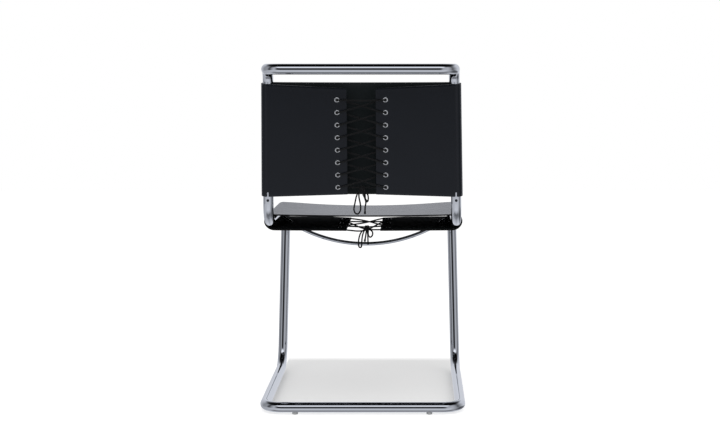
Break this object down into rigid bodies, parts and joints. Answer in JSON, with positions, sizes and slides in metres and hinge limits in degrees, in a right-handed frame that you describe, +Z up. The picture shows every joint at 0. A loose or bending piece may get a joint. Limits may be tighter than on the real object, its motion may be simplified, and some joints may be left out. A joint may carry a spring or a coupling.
{
  "type": "cantilever chair",
  "caption": "Cantilever side chair: a bent chromed steel tube frame carries a seat and a back of black saddle leather slings, laced up underneath and behind.",
  "frame": {"origin": "centre of the bounding box in plan, on the floor", "axes": "+Z up, -Y the way the sitter faces, +X towards the sitter's left hand"},
  "size_m": [0.5, 0.6316, 0.8425],
  "materials": {
    "chromed_tube": "polished chrome plate on steel tube",
    "joint_steel": "plain turned steel, out of sight",
    "screw_chrome": "bright plated button head",
    "saddle_leather": "black saddle leather, smooth fine grain, burnished cut edges",
    "eyelet_nickel": "nickel plated brass",
    "lace_cord": "black round braided cord",
    "glide_plastic": "light grey nylon"
  },
  "bodies": {
    "root": {"back_bow_end_knots": "lace_cord", "back_bow_knot": "lace_cord", "back_bow_loop_left": "lace_cord", "back_bow_loop_right": "lace_cord", "back_bow_tail_long": "lace_cord", "back_bow_tail_short": "lace_cord", "back_eyelets_left": "eyelet_nickel", "back_eyelets_right": "eyelet_nickel", "back_frame_tube": "chromed_tube", "back_lace": "lace_cord", "back_sling": "saddle_leather", "base_frame_tube": "chromed_tube", "floor_glide_front_left": "glide_plastic", "floor_glide_front_right": "glide_plastic", "floor_glide_rear_left": "glide_plastic", "floor_glide_rear_right": "glide_plastic", "rail_joint_screws": "joint_steel", "rail_spigot_left": "joint_steel", "rail_spigot_right": "joint_steel", "seat_bow_end_knots": "lace_cord", "seat_bow_knot": "lace_cord", "seat_bow_loop_left": "lace_cord", "seat_bow_loop_right": "lace_cord", "seat_bow_tail_long": "lace_cord", "seat_bow_tail_short": "lace_cord", "seat_brace_bow": "chromed_tube", "seat_eyelets_left": "eyelet_nickel", "seat_eyelets_right": "eyelet_nickel", "seat_lace": "lace_cord", "seat_sling": "saddle_leather", "sleeve_stop_screws": "screw_chrome"}
  },
  "joints": []
}
